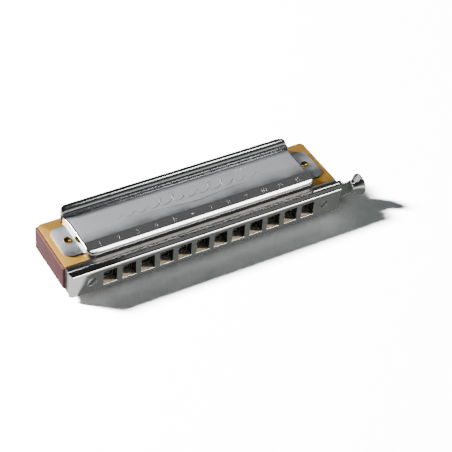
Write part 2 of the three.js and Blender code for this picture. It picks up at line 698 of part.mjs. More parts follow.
// The coil stands on a pin in the comb's pocket; its arm reaches forward into the slide.
function makeSpringCoil() {
  const { coilRadius, wireRadius, turns, turnGap } = SPRING;
  const rise = 2 * wireRadius + turnGap;
  const stepsPerTurn = 12;
  const steps = turns * stepsPerTurn;
  const base = SPRING_POCKET.floor + wireRadius + turnGap;
  const points = Array.from({ length: steps + 1 }, (_, i) => {
    const turn = i / stepsPerTurn;
    const angle = 2 * Math.PI * turn + Math.PI / 2;
    const z = base + rise * turn;
    return new THREE.Vector3(coilRadius * Math.cos(angle), coilRadius * Math.sin(angle), z);
  });
  return wireAlong(points, wireRadius, steps);
}

function makeSpringArm() {
  const { coilRadius, wireRadius } = SPRING;
  const hook = Array.from({ length: 10 }, (_, i) => {
    const angle = Math.PI * (0.35 + 0.65 * (i / 9));
    return new THREE.Vector3(coilRadius * Math.cos(angle), coilRadius * Math.sin(angle), 0);
  });
  const tip = -SPRING_ARM_LENGTH - SLIDE.thickness / 2 + FIT_GAP * 3;
  const reach = [0.35, 0.7, 1].map((share) => {
    return new THREE.Vector3(mix(-coilRadius, 0, Math.min(1, share / 0.7)), mix(0, tip, share), 0);
  });
  const arm = wireAlong([...hook, ...reach], wireRadius, 40);
  return arm.rotateZ(SPRING_LEAN).translate(0, 0, SPRING.armHeight);
}

addPiece("return_spring_coil", makeSpringCoil(), springSteel).position.set(SPRING.x, SPRING.y, 0);
addPiece("return_spring_arm", makeSpringArm(), springSteel).position.set(SPRING.x, SPRING.y, 0);

const springPin = roundAlongZ(0, 0, SPRING_PIN.bottom, SPRING_PIN.top, SPRING_PIN.radius, 16);
addPiece("spring_pin", geometryOf(springPin), brass).position.set(SPRING.x, SPRING.y, 0);

// ---- resting pose --------------------------------------------------------------------------------

// The ground line touches the lower cover's brow and the underside of its back roll: of the lines through
// a point of the front part that also touch the roll, it is the one that leans least.
function leanOfLineThrough([y, z]) {
  const [run, drop] = [ROLL.y - y, ROLL_HEIGHT - z];
  return Math.atan2(drop, run) + Math.asin(ROLL.radius / Math.hypot(run, drop));
}
const REST_TILT = Math.min(...frontPoints(0).map(leanOfLineThrough));

instrument.rotation.x = REST_TILT;
instrument.updateMatrixWorld(true);
const bounds = new THREE.Box3().setFromObject(instrument, true);
const centre = bounds.getCenter(new THREE.Vector3());
instrument.position.set(-centre.x, -centre.y, -bounds.min.z);

const harmonica = new THREE.Group();
harmonica.add(instrument);

export default harmonica;
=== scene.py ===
"""A twelve-hole chromatic harmonica with a slide button, lying on its lower cover.

Pieces are modelled in the instrument's own axes, in millimetres: X along the holes towards the button,
Y from the mouthpiece's face to the back, Z up from the middle of the comb. TO_ROW then lays them in the
row frame, in metres, where the lower cover's roll props up the back and the instrument tips forward.
"""

import json
import math
from types import SimpleNamespace as Sizes

import bmesh
import bpy
from mathutils import Matrix, Vector

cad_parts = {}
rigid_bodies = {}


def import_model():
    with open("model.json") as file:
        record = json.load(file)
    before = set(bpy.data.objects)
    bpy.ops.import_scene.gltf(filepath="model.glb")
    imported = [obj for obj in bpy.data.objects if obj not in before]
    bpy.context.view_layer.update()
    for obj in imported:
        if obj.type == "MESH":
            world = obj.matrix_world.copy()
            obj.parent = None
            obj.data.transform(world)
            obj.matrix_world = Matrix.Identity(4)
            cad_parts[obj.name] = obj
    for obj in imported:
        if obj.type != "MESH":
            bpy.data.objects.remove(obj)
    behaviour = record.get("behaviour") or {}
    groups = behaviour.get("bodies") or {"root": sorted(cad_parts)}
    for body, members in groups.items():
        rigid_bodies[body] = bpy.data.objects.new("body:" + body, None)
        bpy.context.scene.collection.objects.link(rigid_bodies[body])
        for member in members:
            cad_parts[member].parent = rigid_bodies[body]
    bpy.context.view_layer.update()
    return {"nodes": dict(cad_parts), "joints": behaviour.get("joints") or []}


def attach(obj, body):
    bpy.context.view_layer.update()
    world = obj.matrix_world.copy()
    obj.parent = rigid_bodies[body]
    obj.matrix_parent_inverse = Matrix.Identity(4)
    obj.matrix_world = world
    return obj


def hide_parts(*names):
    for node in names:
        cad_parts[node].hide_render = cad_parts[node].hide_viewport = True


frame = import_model()

# ---- the instrument's axes in the row frame ----

MM = 0.001
swing_axis = next(j for j in frame["joints"] if j["name"] == "spring_arm_swing")["axis"]
TILT = math.atan2(-swing_axis[1], swing_axis[2])
LEAN = Matrix.Rotation(TILT, 4, "X")


def upright_extents(node):
    """Lowest and highest corner of a CAD node once the lean is taken out, in metres."""
    points = [LEAN.inverted() @ v.co for v in frame["nodes"][node].data.vertices]
    low = Vector([min(p[axis] for p in points) for axis in range(3)])
    high = Vector([max(p[axis] for p in points) for axis in range(3)])
    return low, high


comb_low, comb_high = upright_extents("comb")
comb_middle = (comb_low + comb_high) / 2
ORIGIN = Vector((comb_middle.x, upright_extents("mouthpiece")[0].y, comb_middle.z))
TO_ROW = LEAN @ Matrix.Translation(ORIGIN) @ Matrix.Scale(MM, 4)


def extents(node):
    """Lowest and highest corner of a CAD node in the instrument's axes, in millimetres."""
    low, high = upright_extents(node)
    return (low - ORIGIN) / MM, (high - ORIGIN) / MM


def new_object(name, data):
    """Links a new object to the scene."""
    obj = bpy.data.objects.new(name, data)
    bpy.context.scene.collection.objects.link(obj)
    return obj


# ---- camera ----

CAMERA_AT = Vector((-260.458, -415.648, 450.134))
CAMERA_RIGHT = Vector((0.86868, -0.49135, 0.063005))
CAMERA_UP = Vector((0.28847, 0.60515, 0.74201))
FOCAL_LENGTH = 114.4

camera_data = bpy.data.cameras.new("camera")
camera_data.lens = FOCAL_LENGTH
camera_data.clip_start = 0.01
camera = new_object("camera", camera_data)
camera_axes = Matrix((CAMERA_RIGHT, CAMERA_UP, CAMERA_RIGHT.cross(CAMERA_UP))).transposed().to_4x4()
camera.matrix_world = Matrix.Translation(TO_ROW @ CAMERA_AT) @ LEAN @ camera_axes
bpy.context.scene.camera = camera

# ---- driving sizes, in millimetres, and angles in degrees ----

HOLE_COUNT = 12
HOLE_PITCH = 9.5
HALF_CELL = HOLE_PITCH / 4  # from a hole's centre to the centre of either of its cells
SLIDE_TRAVEL = HOLE_PITCH / 2
PAST = 1.0  # how far a cutting piece runs past the surface that it cuts
TOUCH = 0.01  # closer than this counts as the same place
POINT = 0.01  # the radius that stands for a point where a turned piece closes
SHARPEST = 0.001  # the smallest radius of a plan corner

COMB = Sizes(corners=(1.1, 1.1, 0.8, 0.8), softness=0.4)
CELL = Sizes(width=3.3, floor=0.45, long_end=35.5, short_end=25.5, least_wall=0.15)
PLATE = Sizes(corners=(0.4, 0.4, 2.0, 2.0), softness=0.12)
REED = Sizes(longest=18.5, shortest=9.5, pad=3.2, front=9.5, slot=2.5, thickness=0.22)
TONGUE = Sizes(root=2.1, shoulder=1.7, tip=1.19, rounding=0.25, spare=0.2, gap=0.05)
RIVET = ((-0.3, 0.5), (-0.22, 0.72), (0.02, 0.75))  # height from the reed's lower face, and radius
VALVE = Sizes(root=3.0, tip=2.5, thickness=0.1, overlap=2.2, reach=0.8, gap=0.06)
VALVE_LIFT = Sizes(height=0.45, start=0.35)  # the free end rises in a curve after this share of its length

MOUTH_HOLE = Sizes(width=6.7, height=7.45, lip=0.3)
MOUTH_FRONT = Sizes(radius=1.5, start=11.0)  # its round front edges, and the angle at which they begin
MOUTH_SLOPE = Sizes(lean=0.45, curve=1.3)  # how far the outer surfaces lean in before those edges
MOUTH_BACK = Sizes(radius=4.0, turn=28.0)  # the shallow curve down to the back edge
SCREW = Sizes(head=2.0, rim=0.12, dome=0.12, crown=0.96, flank=0.35, draft=0.03, neck=1.4)
SCREW_SHANK = Sizes(radius=0.9, taper=1.5, point=0.5, end=14.0)
SCREW_SLOT = Sizes(width=0.6, depth=0.8, turn=-45.0)
SCREW_HOLE = Sizes(radius=1.0, end=14.3, room=0.1, flare=0.4, mouth=-0.3, rim=0.1, seat=0.4, cone=1.5)
BUTTON = Sizes(collar=3.25, waist=2.85, edge=0.06, bevel=0.1, collar_end=1.4, flare=1.5)
BUTTON_RIM = Sizes(start=1.1, width=1.05, rounding=0.55, face=1.2, dish=(0.15, 0.2), dish_share=0.4)

COVER_HALF_LENGTH = 60.4
COVER_THICKNESS = 0.7
END_LEAN = Sizes(panel=0.28, roll=0.0, change=29.0)  # inwards per mm of height, blending behind change
END_SOFTNESS = Sizes(panel=0.75, roll=2.2, most=0.45)  # edge radii, and their largest share of a wall
END_EASE = Sizes(front=0.6, back=0.9)  # over this distance the soft end edge fades out at the corners
BROW = Sizes(y=13.4, drop=0.55)
FRONT_REACH = 0.8  # how far the cover's visible front wall stands in front of the CAD one
SLOPE = Sizes(run=2.2, drop=0.85, edge=0.3)
FOLD = Sizes(run=0.75, below=0.55, above=0.22)  # the round edge between the front wall and the slope
BEND = Sizes(before=0.35, after=0.4)  # the round bend between the slope and the brow
PANEL_HEIGHT = 3.79
PANEL_LINES = (20.0, 27.0)  # rows of points across the flat panel
PANEL_STATIONS = (-25.0, 0.0, 25.0)  # points along each row
ROLL = Sizes(y=36.9, above_foot=5.0, radius=2.37, fillet=0.35, lead=0.2)
CORNER = Sizes(front=3.6, back=4.2)
SATIN_FRONT = 14.0
SATIN_BACK = 32.4
SHEEN_FADE = Sizes(front=7.0, back=2.7)
OPENING = Sizes(half_length=51.0, height=4.75)
TAB = Sizes(end=68.65, front=11.6, back=32.2, thickness=0.6, corner=4.5, softness=0.14, tuck=0.3)
NAIL = Sizes(x=63.2, y=21.9, head=2.1, dome=1.2, rim=0.08, gap=0.03, underside=0.97)
NAIL_SHANK = Sizes(radius=0.75, length=1.0, point=0.2)

NUMBERS = Sizes(size=3.3, front=9.7, lift=0.02, bevel=0.14, thinning=0.08)
ORNAMENT = Sizes(y=21.7, half_length=39.0, loops=12, height=6.6, swing=1.9, slant=0.45)
FLOURISH = Sizes(y=18.8, start=-0.85, end=0.9, height=1.1, waves=1.5)
ENGRAVED_LINE = Sizes(radius=0.25, sink=0.35)  # sink is the share of the radius below the panel
BEADS = Sizes(y=28.6, count=31, half_length=31.0, radius=0.3)
BEAD_DOME = ((-0.1, 1.0), (0.0, 1.0), (0.25, 0.9), (0.45, 0.6), (0.55, 0.02))  # as shares of the radius

holes = range(HOLE_COUNT)
sides = (("upper", 1), ("lower", -1))
ends = (("left", -1), ("right", 1))
TURN_OVER = Matrix.Scale(-1, 4, (0, 0, 1))


def mix(start, end, share):
    return start + (end - start) * share


def clamp(value, low=0.0, high=1.0):
    return min(high, max(low, value))


def hole_x(hole):
    """The middle of a mouth hole, counted from 0 at the left."""
    return (hole - (HOLE_COUNT - 1) / 2) * HOLE_PITCH


def reed_length(hole):
    return mix(REED.longest, REED.shortest, hole / (HOLE_COUNT - 1))


SCREW_X = extents("mouthpiece_screw_right")[0].x + SCREW.head

# ---- mesh helpers ----


def mesh_of(bm, name):
    """Turns bm into a mesh of its own and frees it."""
    mesh = bpy.data.meshes.new(name)
    bm.to_mesh(mesh)
    bm.free()
    return mesh


def evaluated(obj):
    """The object with its modifiers and its curves worked out."""
    return obj.evaluated_get(bpy.context.evaluated_depsgraph_get())


def turns(start, end, steps):
    """(cosine, sine) at evenly spaced angles from start to end, in radians."""
    angles = [mix(start, end, i / steps) for i in range(steps + 1)]
    return [(math.cos(angle), math.sin(angle)) for angle in angles]


QUARTER = math.pi / 2


def loft(bm, rings):
    """Joins rings of equally many points with quads and closes the first and the last one."""
    loops = [[bm.verts.new(point) for point in ring] for ring in rings]
    count = len(loops[0])
    for low, high in zip(loops, loops[1:]):
        for i in range(count):
            j = (i + 1) % count
            bm.faces.new((low[i], low[j], high[j], high[i]))
    bm.faces.new(loops[0][::-1])
    bm.faces.new(loops[-1])


def box_rings(x0, x1, y0, y1, z0, z1):
    return [[(x0, y0, z), (x1, y0, z), (x1, y1, z), (x0, y1, z)] for z in (z0, z1)]


def rounded_outline(x0, x1, y0, y1, radii, inset):
    """A rectangle with corner radii in the order front-left, front-right, back-right, back-left."""
    corners = ((x0, y0, 1, 1, 180), (x1, y0, -1, 1, 270), (x1, y1, -1, -1, 0), (x0, y1, 1, -1, 90))
    outline = []
    for (x, y, toward_x, toward_y, start), radius in zip(corners, radii):
        reach = max(radius - inset, SHARPEST)
        shift = max(radius, inset)
        middle_x, middle_y = x + toward_x * shift, y + toward_y * shift
        for cosine, sine in turns(math.radians(start), math.radians(start) + QUARTER, 8):
            outline.append((middle_x + reach * cosine, middle_y + reach * sine))
    return outline


def rounded_slab(bm, low, high, corners, soft, steps=3):
    """A flat piece between two opposite corners, with round plan corners and soft upper and lower edges."""
    (x0, y0, z0), (x1, y1, z1) = low, high

    def ring(inset, z):
        return [(x, y, z) for x, y in rounded_outline(x0, x1, y0, y1, corners, inset)]

    quarter = turns(0, QUARTER, steps)
    lower = [ring(soft * (1 - sine), z0 + soft * (1 - cosine)) for cosine, sine in quarter]
    upper = [ring(soft * (1 - cosine), z1 - soft * (1 - sine)) for cosine, sine in quarter]
    loft(bm, lower + upper)


def turned(bm, profile, place, count):
    """A turned piece: profile is (distance along the axis, radius), place maps (along, u, v) to a point."""
    circle = turns(0, math.tau, count)[:-1]
    loft(bm, [[place(along, radius * u, radius * v) for u, v in circle] for along, radius in profile])


def along_y(x):
    """Places a turned piece with its axis along Y."""
    return lambda along, u, v: (x + u, along, v)


def along_z(x, y):
    """Places a turned piece with its axis upright."""
    return lambda along, u, v: (x + u, y + v, along)


def carve(obj, cutter_bm):
    """Cuts the closed pieces of cutter_bm out of obj and keeps the result as obj's own mesh."""
    bmesh.ops.recalc_face_normals(cutter_bm, faces=cutter_bm.faces)
    cutter = new_object("cutter", mesh_of(cutter_bm, "cutter"))
    modifier = obj.modifiers.new("cut", "BOOLEAN")
    modifier.operation = "DIFFERENCE"
    modifier.solver = "EXACT"
    modifier.object = cutter
    cut_mesh = bpy.data.meshes.new_from_object(evaluated(obj))
    obj.modifiers.clear()
    obj.data = cut_mesh
    bpy.data.objects.remove(cutter)


def add_piece(name, bm, shaders, mirrored=False):
    """Links bm as an object in the instrument's axes, turned over to the lower side if mirrored."""
    if mirrored:
        bmesh.ops.transform(bm, matrix=TURN_OVER, verts=bm.verts)
    bmesh.ops.remove_doubles(bm, verts=bm.verts, dist=1e-4)
    bmesh.ops.dissolve_degenerate(bm, edges=bm.edges, dist=1e-5)
    bmesh.ops.recalc_face_normals(bm, faces=bm.faces)
    obj = new_object(name, mesh_of(bm, name))
    for shader in shaders:
        obj.data.materials.append(shader.material)
    return obj


def settle(obj, crease=32, replaced=(), body="body"):
    """Lays a finished piece in the row frame, smooths it up to the crease angle and hands it to its body."""
    obj.data.transform(TO_ROW)
    obj.data.shade_smooth()
    obj.data.set_sharp_from_angle(angle=math.radians(crease))
    obj.data.update()
    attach(obj, body)
    if replaced:
        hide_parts(*replaced)


# ---- materials ----


def fill(node, **values):
    """Sets constant values on a node's own sockets. An underscore stands for a space in a socket's name."""
    for name, value in values.items():
        node.inputs[name.replace("_", " ")].default_value = value


def set_stops(ramp, stops):
    """Gives a colour ramp these (position, colour) stops."""
    while len(ramp.elements) < len(stops):
        ramp.elements.new(0.5)
    for element, (position, color) in zip(ramp.elements, stops):
        element.position = position
        element.color = (*color, 1)


class Shader:
    """A material's node tree with the instrument's own coordinates, in millimetres, ready to use."""

    def __init__(self, name, **constants):
        self.material = bpy.data.materials.new(name)
        self.material.use_nodes = True
        self.nodes = self.material.node_tree.nodes
        self.links = self.material.node_tree.links
        self.surface = self.nodes["Principled BSDF"]
        fill(self.surface, **constants)
        coordinates = self.nodes.new("ShaderNodeTexCoord")
        upright = self.nodes.new("ShaderNodeMapping")
        upright.vector_type = "TEXTURE"
        fill(upright, Location=LEAN @ ORIGIN, Rotation=(TILT, 0, 0), Scale=(MM, MM, MM))
        self.links.new(coordinates.outputs["Object"], upright.inputs["Vector"])
        self.position = upright.outputs["Vector"]

    def link(self, output, name):
        self.links.new(output, self.surface.inputs[name])

    def noise(self, scale, stretch=(1, 1, 1), detail=3, roughness=0.5):
        """Noise in the range 0 to 1. scale is features per millimetre before stretch."""
        mapping = self.nodes.new("ShaderNodeMapping")
        fill(mapping, Scale=stretch)
        texture = self.nodes.new("ShaderNodeTexNoise")
        fill(texture, Scale=scale, Detail=detail, Roughness=roughness)
        self.links.new(self.position, mapping.inputs["Vector"])
        self.links.new(mapping.outputs["Vector"], texture.inputs["Vector"])
        return texture.outputs["Fac"]

    def ramp(self, value, stops):
        node = self.nodes.new("ShaderNodeValToRGB")
        set_stops(node.color_ramp, stops)
        self.links.new(value, node.inputs["Fac"])
        return node.outputs["Color"]

    def spread(self, value, low, high, start=0.0, end=1.0):
        """Maps start..end of value to low..high, clamped."""
        node = self.nodes.new("ShaderNodeMapRange")
        fill(node, From_Min=start, From_Max=end, To_Min=low, To_Max=high)
        self.links.new(value, node.inputs["Value"])
        return node.outputs["Result"]

    def math(self, operation, first, second=None):
        node = self.nodes.new("ShaderNodeMath")
        node.operation = operation
        for socket, value in zip(node.inputs, (first, second)):
            if isinstance(value, (int, float)):
                socket.default_value = value
            elif value is not None:
                self.links.new(value, socket)
        return node.outputs["Value"]

    def axis(self, name):
        node = self.nodes.new("ShaderNodeSeparateXYZ")
        self.links.new(self.position, node.inputs["Vector"])
        return node.outputs[name]

    def blend_colors(self, share, first, second):
        node = self.nodes.new("ShaderNodeMix")
        node.data_type = "RGBA"
        self.links.new(share, node.inputs["Factor"])
        color_sockets = [socket for socket in node.inputs if socket.type == "RGBA"]
        for socket, value in zip(color_sockets, (first, second)):
            if isinstance(value, tuple):
                socket.default_value = (*value, 1)
            else:
                self.links.new(value, socket)
        return next(socket for socket in node.outputs if socket.type == "RGBA")

    def bump(self, height, distance_mm, strength=1.0):
        node = self.nodes.new("ShaderNodeBump")
        fill(node, Strength=strength, Distance=distance_mm * MM)
        self.links.new(height, node.inputs["Height"])
        self.link(node.outputs["Normal"], "Normal")


def metal(name, color, tarnish_and_shade, roughness, grain=(1, 1, 1), grain_scale=2.0, depth=0.004):
    """A metal whose tone drifts between two colours, with a fine grain in its gloss and relief."""
    shader = Shader(name, Metallic=1.0)
    drift = shader.noise(0.09, detail=5, roughness=0.6)
    shader.link(shader.ramp(drift, ((0.35, tarnish_and_shade), (0.6, color))), "Base Color")
    fine = shader.noise(grain_scale, stretch=grain, detail=4, roughness=0.65)
    shader.link(shader.spread(fine, roughness[0], roughness[1], 0.3, 0.7), "Roughness")
    shader.bump(fine, depth)
    return shader


polished_steel = metal("polished_steel", (0.7, 0.7, 0.69), (0.64, 0.65, 0.64), (0.07, 0.13), depth=0.0004)
# Painted shade: the roll gets a slightly darker, cooler copy of the polished steel, besides its rougher
# gloss.
roll_steel = metal("roll_steel", (0.66, 0.67, 0.67), (0.6, 0.61, 0.61), (0.17, 0.23), depth=0.0002)
inner_steel = metal("inner_steel", (0.5, 0.5, 0.49), (0.4, 0.4, 0.39), (0.3, 0.45), depth=0.002)
chrome = metal("chrome", (0.78, 0.785, 0.77), (0.72, 0.73, 0.71), (0.05, 0.1), depth=0.0003)
cage_steel = metal("cage_steel", (0.7, 0.69, 0.66), (0.6, 0.59, 0.56), (0.26, 0.36), depth=0.0008)
slide_steel = metal(
    "slide_steel", (0.55, 0.56, 0.55), (0.45, 0.46, 0.45), (0.16, 0.26), (0.1, 1, 1), 6.0, 0.001
)
spring_steel = metal("spring_steel", (0.45, 0.45, 0.46), (0.3, 0.3, 0.3), (0.25, 0.4), depth=0.002)
bright_brass = metal("bright_brass", (0.9, 0.6, 0.2), (0.78, 0.45, 0.12), (0.14, 0.26), depth=0.001)
reed_brass = metal("reed_brass", (0.8, 0.6, 0.3), (0.68, 0.47, 0.2), (0.25, 0.38), (1, 0.1, 1), 8.0)


def make_plate_brass():
    """Rolled brass sheet with redder stains that gather in patches, and a painted shade along the cover's
    front edge.
    """
    shader = Shader("plate_brass", Metallic=1.0)
    patches = shader.noise(0.16, detail=6, roughness=0.62)
    specks = shader.noise(1.7, detail=4, roughness=0.7)
    patchy = shader.spread(patches, 0, 1, 0.42, 0.66)
    speckled = shader.spread(specks, 0.35, 1, 0.35, 0.7)
    stain = shader.math("MULTIPLY", patchy, speckled)
    clean = shader.ramp(patches, ((0.3, (0.86, 0.49, 0.08)), (0.7, (0.9, 0.54, 0.11))))
    stained = shader.blend_colors(stain, clean, (0.52, 0.25, 0.08))
    # Painted shade: along the cover's length, the brass just in front of and under its front wall is turned
    # grey-brown as if it lay in the cover's shadow.
    off_middle = shader.math("ABSOLUTE", shader.axis("X"))
    along_cover = shader.spread(off_middle, 1, 0, COVER_HALF_LENGTH - 3.4, COVER_HALF_LENGTH + 1)
    at_front = shader.spread(shader.axis("Y"), 1, 0, 8.0, 9.5)
    tarnish_and_shade = shader.math("MULTIPLY", along_cover, at_front)
    shader.link(shader.blend_colors(tarnish_and_shade, stained, (0.36, 0.31, 0.25)), "Base Color")
    grain = shader.noise(7.0, stretch=(0.12, 1, 1), detail=4, roughness=0.6)
    shader.link(shader.spread(shader.math("ADD", grain, stain), 0.48, 0.62, 0.3, 1.4), "Roughness")
    shader.bump(grain, 0.003)
    return shader


def make_painted_wood():
    """Mauve-brown paint over fine wood grain, rubbed through to a paler pink along the block's edges."""
    shader = Shader("painted_wood", Specular_IOR_Level=0.05)
    high = extents("comb")[1]
    grain = shader.noise(0.9, stretch=(0.12, 1, 1.6), detail=6, roughness=0.6)
    cloud = shader.noise(0.12, detail=4)
    paint = shader.ramp(grain, ((0.3, (0.21, 0.088, 0.09)), (0.7, (0.3, 0.145, 0.15))))
    paint = shader.blend_colors(shader.spread(cloud, 0, 0.5, 0.4, 0.7), paint, (0.3, 0.15, 0.16))
    height = shader.math("ABSOLUTE", shader.axis("Z"))
    length = shader.math("ABSOLUTE", shader.axis("X"))
    near_rim = shader.spread(height, 0, 1, high.z - 0.55, high.z - 0.12)
    at_end = shader.spread(length, 0, 1, high.x - 0.7, high.x - 0.25)
    chips = shader.spread(shader.noise(1.4, detail=5, roughness=0.7), 0.25, 1, 0.35, 0.6)
    wear = shader.math("MULTIPLY", shader.math("MULTIPLY", near_rim, at_end), chips)
    worn = shader.blend_colors(wear, paint, (0.62, 0.36, 0.33))
    inside = shader.spread(length, 1, 0, high.x - 3.0, high.x - 2.0)
    bare_wood = shader.ramp(grain, ((0.3, (0.5, 0.34, 0.17)), (0.7, (0.66, 0.48, 0.27))))
    front = shader.spread(shader.axis("Y"), 1, 0, high.y - 2.5, high.y - 2.0)
    unpainted = shader.math("MULTIPLY", inside, front)
    shader.link(shader.blend_colors(unpainted, worn, bare_wood), "Base Color")
    shader.link(shader.spread(grain, 0.42, 0.62, 0.3, 0.7), "Roughness")
    shader.bump(grain, 0.03, 0.6)
    return shader


def make_valve_film():
    """Thin milky film, a little yellowed and wrinkled."""
    shader = Shader("valve_film")
    age = shader.noise(0.3, detail=4)
    shader.link(shader.ramp(age, ((0.3, (0.72, 0.69, 0.58)), (0.7, (0.84, 0.82, 0.75)))), "Base Color")
    wrinkles = shader.noise(0.8, stretch=(1, 0.25, 1), detail=3)
    shader.link(shader.spread(wrinkles, 0.35, 0.55), "Roughness")
    shader.bump(wrinkles, 0.05)
    return shader


def make_satin_steel(name, level):
    """Brushed plating with a painted sheen in its base colour that falls off to a painted shade towards the
    polished border and towards the roll.
    """
    shader = Shader(name, Metallic=1.0)
    grain = shader.noise(9.0, stretch=(0.15, 1, 1), detail=4, roughness=0.65)
    cloud = shader.noise(0.07, detail=4)
    wavering = shader.math("ADD", shader.axis("Y"), shader.spread(cloud, -1.5, 1.5, 0.3, 0.7))
    # Painted light and shade: the base colour runs from a lit tone in the panel's middle, through a half-lit
    # middle tone, to a shaded tone at its front and back.
    tones = ((0.98, 0.995, 1.04), (0.68, 0.7, 0.73), (0.32, 0.34, 0.36))
    lit_tone, middle, shaded_tone = [tuple(level * part for part in tone) for tone in tones]
    from_front = shader.spread(wavering, 0, 1, SATIN_FRONT, SATIN_FRONT + SHEEN_FADE.front)
    from_back = shader.spread(shader.axis("Y"), 1, 0, SATIN_BACK - SHEEN_FADE.back, SATIN_BACK)
    sheen = shader.math("MULTIPLY", from_front, from_back)
    shader.link(shader.ramp(sheen, ((0, shaded_tone), (0.4, middle), (1, lit_tone))), "Base Color")
    shader.link(shader.spread(grain, 0.5, 0.57, 0.3, 0.7), "Roughness")
    shader.bump(grain, 0.004)
    return shader


def make_mouth_chrome():
    """Bright plating that turns a little duller towards the back edge."""
    shader = Shader("mouth_chrome", Metallic=1.0)
    drift = shader.noise(0.09, detail=5, roughness=0.6)
    shader.link(shader.ramp(drift, ((0.35, (0.72, 0.73, 0.71)), (0.6, (0.78, 0.785, 0.77)))), "Base Color")
    shader.link(shader.spread(shader.axis("Y"), 0.06, 0.14, 1.6, 3.2), "Roughness")
    return shader


def make_hole_light_and_shade(name, dark, light):
    """Tones for the mouth holes' walls: a pale one that is painted light on the up-facing hole floors, and a
    near-black one that is painted shade on the other walls; noise varies each.
    """
    shader = Shader(name)
    stain = shader.noise(0.9, detail=5, roughness=0.65)
    shader.link(shader.ramp(stain, ((0.35, dark), (0.65, light))), "Base Color")
    shader.link(shader.spread(stain, 0.55, 0.75), "Roughness")
    shader.bump(stain, 0.02)
    return shader


satin_steel = make_satin_steel("satin_steel", 0.6)
# Painted shade: the tabs get a slightly darker copy of the same satin steel.
tab_steel = make_satin_steel("tab_steel", 0.55)
# Painted shade: the ornament's raised lines get a copy of the satin steel at half its brightness, so that
# they look like dark engraved lines.
engraved_steel = make_satin_steel("engraved_steel", 0.3)
hole_lining = make_hole_light_and_shade("hole_lining", (0.3, 0.23, 0.13), (0.62, 0.52, 0.36))
hole_shade = make_hole_light_and_shade("hole_shade", (0.006, 0.006, 0.005), (0.016, 0.015, 0.012))
mouth_chrome = make_mouth_chrome()
plate_brass = make_plate_brass()
painted_wood = make_painted_wood()
valve_film = make_valve_film()

# ---- comb ----


def make_comb():
    """The wooden block with its cells, open towards the plates and the slide, and its two screw holes."""
    low, high = extents("comb")
    bm = bmesh.new()
    rounded_slab(bm, low, high, COMB.corners, COMB.softness)
    obj = add_piece("comb_block", bm, [painted_wood])
    cutter = bmesh.new()
    front = low.y - PAST
    # The first cell stays clear of the slot that lets the slide move past the left screw.
    first_left = SLIDE_TRAVEL + SCREW_HOLE.radius + CELL.least_wall - SCREW_X
    for hole in holes:
        back = mix(CELL.long_end, CELL.short_end, hole / (HOLE_COUNT - 1))
        for sign in (-1, 1):
            centre = hole_x(hole) + sign * HALF_CELL
            left = max(centre - CELL.width / 2, first_left)
            right = centre + CELL.width / 2
            for _, side in sides:
                z0, z1 = sorted((side * CELL.floor, side * (high.z + PAST)))
                loft(cutter, box_rings(left, right, front, back, z0, z1))
    shaft = ((front, SCREW_HOLE.radius), (SCREW_HOLE.end, SCREW_HOLE.radius))
    for _, sign in ends:
        turned(cutter, shaft, along_y(sign * SCREW_X), 16)
    carve(obj, cutter)
    settle(obj, replaced=("comb",))


make_comb()

# ---- reed plates, blow reeds and valves ----


def make_reed_plate(name, side):
    """A brass plate with a slot for every draw reed and, further back, one for every blow reed."""
    low, high = extents("upper_reed_plate")
    bm = bmesh.new()
    rounded_slab(bm, low, high, PLATE.corners, PLATE.softness, 2)
    obj = add_piece(name + "_plate", bm, [plate_brass])
    cutter = bmesh.new()
    half = REED.slot / 2
    for hole in holes:
        length = reed_length(hole)
        draw_slot = (hole_x(hole) + HALF_CELL, REED.front)
        blow_slot = (hole_x(hole) - HALF_CELL, REED.front + REED.pad)
        for x, front in (draw_slot, blow_slot):
            loft(cutter, box_rings(x - half, x + half, front, front + length, low.z - PAST, high.z + PAST))
    carve(obj, cutter)
    if side < 0:
        obj.data.transform(TURN_OVER)
        obj.data.flip_normals()
    settle(obj, replaced=(name + "_reed_plate",))


def tongue_outline(x, root, tip):
    """(x, y) around a flat reed that tapers from its root at the front to its slightly rounded tip."""
    root_half, shoulder_half, tip_half = TONGUE.root / 2, TONGUE.shoulder / 2, TONGUE.tip / 2
    shoulder = tip - TONGUE.rounding
    right = [(x + root_half, root), (x + shoulder_half, shoulder), (x + tip_half, tip)]
    left = [(x - tip_half, tip), (x - shoulder_half, shoulder)]
    return [(x - root_half, root), *right, *left]


def make_blow_reeds(name, side):
    """The reeds on the comb side of a plate, riveted at the front, free towards the back."""
    high = extents("upper_reed_plate")[0].z - TONGUE.gap
    low = high - REED.thickness
    rivet = [(low + height, radius) for height, radius in RIVET]
    root = REED.front + TONGUE.spare
    bm = bmesh.new()
    for hole in holes:
        x = hole_x(hole) - HALF_CELL
        tip = REED.front + REED.pad + reed_length(hole) - TONGUE.spare
        outline = tongue_outline(x, root, tip)
        loft(bm, [[(px, py, z) for px, py in outline] for z in (low, high)])
        turned(bm, rivet, along_z(x, root + REED.pad / 2), 16)
    obj = add_piece(name + "_blow_reeds", bm, [reed_brass], mirrored=side < 0)
    settle(obj)


def make_valves(name, side):
    """Film strips glued at the front over the blow reeds' slots, their free ends just lifting off."""
    plate_high = extents("upper_reed_plate")[1].z
    slot_front = REED.front + REED.pad
    steps = 8
    bm = bmesh.new()
    for hole in holes:
        x = hole_x(hole) - HALF_CELL
        start = slot_front - VALVE.overlap
        end = slot_front + reed_length(hole) + VALVE.reach
        rings = []
        for i in range(steps + 1):
            share = i / steps
            y = mix(start, end, share)
            lift = VALVE_LIFT.height * max(0, share - VALVE_LIFT.start) ** 2
            low = plate_high + VALVE.gap + lift
            high = low + VALVE.thickness
            half = mix(VALVE.root, VALVE.tip, share) / 2
            rings.append([(x - half, y, low), (x + half, y, low), (x + half, y, high), (x - half, y, high)])
        loft(bm, rings)
    obj = add_piece(name + "_valves", bm, [valve_film], mirrored=side < 0)
    settle(obj)


for side_name, side_sign in sides:
    make_reed_plate(side_name, side_sign)
    make_blow_reeds(side_name, side_sign)
    make_valves(side_name, side_sign)

# ---- covers ----

